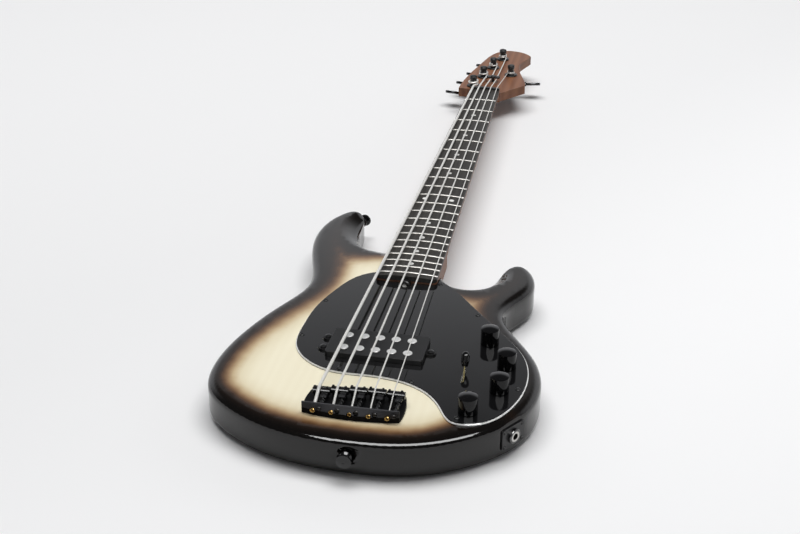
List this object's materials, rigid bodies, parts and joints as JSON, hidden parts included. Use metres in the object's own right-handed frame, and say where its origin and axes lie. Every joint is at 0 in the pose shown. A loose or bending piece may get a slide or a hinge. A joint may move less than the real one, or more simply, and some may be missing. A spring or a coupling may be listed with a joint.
{
  "type": "electric bass guitar",
  "caption": "Solid-body electric bass guitar lying on its back, with horned body, bolt-on fretted neck, pickup, bridge, knobs and geared tuners.",
  "frame": {"origin": "on the centre line, on the flat back of the body, below the end of the string scale", "axes": "+X to the treble side, +Y from the tail to the headstock, +Z out of the face towards the strings"},
  "size_m": [0.3257, 1.1714, 0.0644],
  "materials": {
    "body_finish": "gloss",
    "neck_maple": "satin",
    "ebony": "satin",
    "fret_wire": "polished",
    "dot_pearl": "gloss",
    "nut_black": "satin",
    "guard_black": "gloss",
    "cover_black": "satin",
    "pole_steel": "polished",
    "black_hardware": "satin",
    "plain_steel": "satin",
    "string_nickel": "wound",
    "brass": "polished",
    "nickel": "polished",
    "coil_copper": "satin",
    "battery_case": "satin",
    "board_green": "satin",
    "box_black": "matte"
  },
  "bodies": {
    "frame": {"body": "body_finish", "neck": "neck_maple", "fretboard": "ebony", "frets": "fret_wire", "position_dots": "dot_pearl", "nut": "nut_black", "truss_rod": "plain_steel", "neck_bolts": "plain_steel", "neck_ferrules": "nickel", "pickguard": "guard_black", "pickup_springs": "plain_steel", "bridge_plate": "black_hardware", "bridge_screws": "black_hardware", "intonation_springs": "plain_steel", "strings": "string_nickel", "ball_ends": "brass", "string_tree": "black_hardware", "tuner_plates": "black_hardware", "tuner_bushings": "black_hardware", "potentiometers": "plain_steel", "switch_frame": "plain_steel", "jack_plate": "black_hardware", "jack_socket": "nickel", "strap_buttons": "black_hardware", "battery_box": "box_black", "batteries": "battery_case", "preamp_board": "board_green"},
    "truss_wheel": {"truss_rod_wheel": "black_hardware"},
    "pickup": {"pickup_cover": "cover_black", "pickup_poles": "pole_steel", "pickup_coils": "coil_copper", "pickup_screws": "black_hardware"},
    "switch": {"switch_lever": "brass"},
    "lid": {"battery_lid": "box_black"},
    "saddle_1": {"saddle_1": "black_hardware"},
    "intonation_screw_1": {"intonation_screw_1": "black_hardware"},
    "saddle_2": {"saddle_2": "black_hardware"},
    "intonation_screw_2": {"intonation_screw_2": "black_hardware"},
    "saddle_3": {"saddle_3": "black_hardware"},
    "intonation_screw_3": {"intonation_screw_3": "black_hardware"},
    "saddle_4": {"saddle_4": "black_hardware"},
    "intonation_screw_4": {"intonation_screw_4": "black_hardware"},
    "saddle_5": {"saddle_5": "black_hardware"},
    "intonation_screw_5": {"intonation_screw_5": "black_hardware"},
    "tuner_key_1": {"tuner_key_1": "black_hardware"},
    "tuner_post_1": {"tuner_post_1": "black_hardware"},
    "tuner_key_2": {"tuner_key_2": "black_hardware"},
    "tuner_post_2": {"tuner_post_2": "black_hardware"},
    "tuner_key_3": {"tuner_key_3": "black_hardware"},
    "tuner_post_3": {"tuner_post_3": "black_hardware"},
    "tuner_key_4": {"tuner_key_4": "black_hardware"},
    "tuner_post_4": {"tuner_post_4": "black_hardware"},
    "tuner_key_5": {"tuner_key_5": "black_hardware"},
    "tuner_post_5": {"tuner_post_5": "black_hardware"},
    "knob_1": {"knob_1": "black_hardware"},
    "knob_2": {"knob_2": "black_hardware"},
    "knob_3": {"knob_3": "black_hardware"},
    "knob_4": {"knob_4": "black_hardware"}
  },
  "joints": [
    {"name": "truss_wheel_turn", "type": "hinge", "parent": "frame", "child": "truss_wheel", "pos_m": [0, 0.22934, 0.0428], "axis": [0, 1, 0], "range_deg": [-180, 180]},
    {"name": "pickup_height", "type": "slide", "parent": "frame", "child": "pickup", "axis": [0, 0, 1], "range_m": [-0.003, 0.001], "deforming": ["pickup_springs"]},
    {"name": "intonation_screw_1_turn", "type": "hinge", "parent": "frame", "child": "intonation_screw_1", "pos_m": [-0.0294, -0.034, 0.0488], "axis": [0, 1, 0], "range_deg": [-3240, 3240]},
    {"name": "saddle_1_slide", "type": "slide", "parent": "frame", "child": "saddle_1", "axis": [0, 1, 0], "range_m": [-0.004, 0.004], "deforming": ["intonation_springs", "strings"]},
    {"name": "intonation_screw_2_turn", "type": "hinge", "parent": "frame", "child": "intonation_screw_2", "pos_m": [-0.0117, -0.034, 0.0488], "axis": [0, 1, 0], "range_deg": [-3240, 3240]},
    {"name": "saddle_2_slide", "type": "slide", "parent": "frame", "child": "saddle_2", "axis": [0, 1, 0], "range_m": [-0.004, 0.004], "deforming": ["intonation_springs", "strings"]},
    {"name": "intonation_screw_3_turn", "type": "hinge", "parent": "frame", "child": "intonation_screw_3", "pos_m": [0.006, -0.034, 0.0488], "axis": [0, 1, 0], "range_deg": [-3240, 3240]},
    {"name": "saddle_3_slide", "type": "slide", "parent": "frame", "child": "saddle_3", "axis": [0, 1, 0], "range_m": [-0.004, 0.004], "deforming": ["intonation_springs", "strings"]},
    {"name": "intonation_screw_4_turn", "type": "hinge", "parent": "frame", "child": "intonation_screw_4", "pos_m": [0.0237, -0.034, 0.0488], "axis": [0, 1, 0], "range_deg": [-3240, 3240]},
    {"name": "saddle_4_slide", "type": "slide", "parent": "frame", "child": "saddle_4", "axis": [0, 1, 0], "range_m": [-0.004, 0.004], "deforming": ["intonation_springs", "strings"]},
    {"name": "intonation_screw_5_turn", "type": "hinge", "parent": "frame", "child": "intonation_screw_5", "pos_m": [0.0414, -0.034, 0.0488], "axis": [0, 1, 0], "range_deg": [-3240, 3240]},
    {"name": "saddle_5_slide", "type": "slide", "parent": "frame", "child": "saddle_5", "axis": [0, 1, 0], "range_m": [-0.004, 0.004], "deforming": ["intonation_springs", "strings"]},
    {"name": "tuner_key_1_turn", "type": "hinge", "parent": "frame", "child": "tuner_key_1", "pos_m": [-0.02112, 0.91688, 0.0219], "axis": [-0.9842, 0.1771, 0], "continuous": true},
    {"name": "tuner_post_1_turn", "type": "hinge", "parent": "frame", "child": "tuner_post_1", "pos_m": [-0.0236, 0.9031, 0.042], "axis": [0, 0, 1], "continuous": true},
    {"name": "tuner_key_2_turn", "type": "hinge", "parent": "frame", "child": "tuner_key_2", "pos_m": [-0.01152, 0.96348, 0.0219], "axis": [-0.9842, 0.1771, 0], "continuous": true},
    {"name": "tuner_post_2_turn", "type": "hinge", "parent": "frame", "child": "tuner_post_2", "pos_m": [-0.014, 0.9497, 0.042], "axis": [0, 0, 1], "continuous": true},
    {"name": "tuner_key_3_turn", "type": "hinge", "parent": "frame", "child": "tuner_key_3", "pos_m": [-0.00192, 1.01008, 0.0219], "axis": [-0.9842, 0.1771, 0], "continuous": true},
    {"name": "tuner_post_3_turn", "type": "hinge", "parent": "frame", "child": "tuner_post_3", "pos_m": [-0.0044, 0.9963, 0.042], "axis": [0, 0, 1], "continuous": true},
    {"name": "tuner_key_4_turn", "type": "hinge", "parent": "frame", "child": "tuner_key_4", "pos_m": [0.00768, 1.05668, 0.0219], "axis": [-0.9842, 0.1771, 0], "continuous": true},
    {"name": "tuner_post_4_turn", "type": "hinge", "parent": "frame", "child": "tuner_post_4", "pos_m": [0.0052, 1.0429, 0.042], "axis": [0, 0, 1], "continuous": true},
    {"name": "tuner_key_5_turn", "type": "hinge", "parent": "frame", "child": "tuner_key_5", "pos_m": [0.02497, 0.97927, 0.0219], "axis": [0.9763, 0.2164, 0], "continuous": true},
    {"name": "tuner_post_5_turn", "type": "hinge", "parent": "frame", "child": "tuner_post_5", "pos_m": [0.028, 0.9656, 0.042], "axis": [0, 0, 1], "continuous": true},
    {"name": "knob_1_turn", "type": "hinge", "parent": "frame", "child": "knob_1", "pos_m": [0.109, 0.1226, 0.044], "axis": [0, 0, 1], "range_deg": [-150, 150]},
    {"name": "knob_2_turn", "type": "hinge", "parent": "frame", "child": "knob_2", "pos_m": [0.1316, 0.0805, 0.044], "axis": [0, 0, 1], "range_deg": [-150, 150]},
    {"name": "knob_3_turn", "type": "hinge", "parent": "frame", "child": "knob_3", "pos_m": [0.1301, 0.0351, 0.044], "axis": [0, 0, 1], "range_deg": [-150, 150]},
    {"name": "knob_4_turn", "type": "hinge", "parent": "frame", "child": "knob_4", "pos_m": [0.106, -0.0058, 0.044], "axis": [0, 0, 1], "range_deg": [-150, 150]},
    {"name": "switch_throw", "type": "hinge", "parent": "frame", "child": "switch", "pos_m": [0.0926, 0.0535, 0.0343], "axis": [1, 0, 0], "range_deg": [0, 52]},
    {"name": "battery_lid_hinge", "type": "hinge", "parent": "frame", "child": "lid", "pos_m": [-0.11765, 0.04, 0.0014], "axis": [0, 1, 0], "range_deg": [0, 105]}
  ],
  "couplings": [
    {"joint": "intonation_screw_1_turn", "follows": "saddle_1_slide", "rad_per_m": -12566},
    {"joint": "intonation_screw_2_turn", "follows": "saddle_2_slide", "rad_per_m": -12566},
    {"joint": "intonation_screw_3_turn", "follows": "saddle_3_slide", "rad_per_m": -12566},
    {"joint": "intonation_screw_4_turn", "follows": "saddle_4_slide", "rad_per_m": -12566},
    {"joint": "intonation_screw_5_turn", "follows": "saddle_5_slide", "rad_per_m": -12566},
    {"joint": "tuner_post_1_turn", "follows": "tuner_key_1_turn", "ratio": 0.047619},
    {"joint": "tuner_post_2_turn", "follows": "tuner_key_2_turn", "ratio": 0.047619},
    {"joint": "tuner_post_3_turn", "follows": "tuner_key_3_turn", "ratio": 0.047619},
    {"joint": "tuner_post_4_turn", "follows": "tuner_key_4_turn", "ratio": 0.047619},
    {"joint": "tuner_post_5_turn", "follows": "tuner_key_5_turn", "ratio": 0.047619}
  ]
}
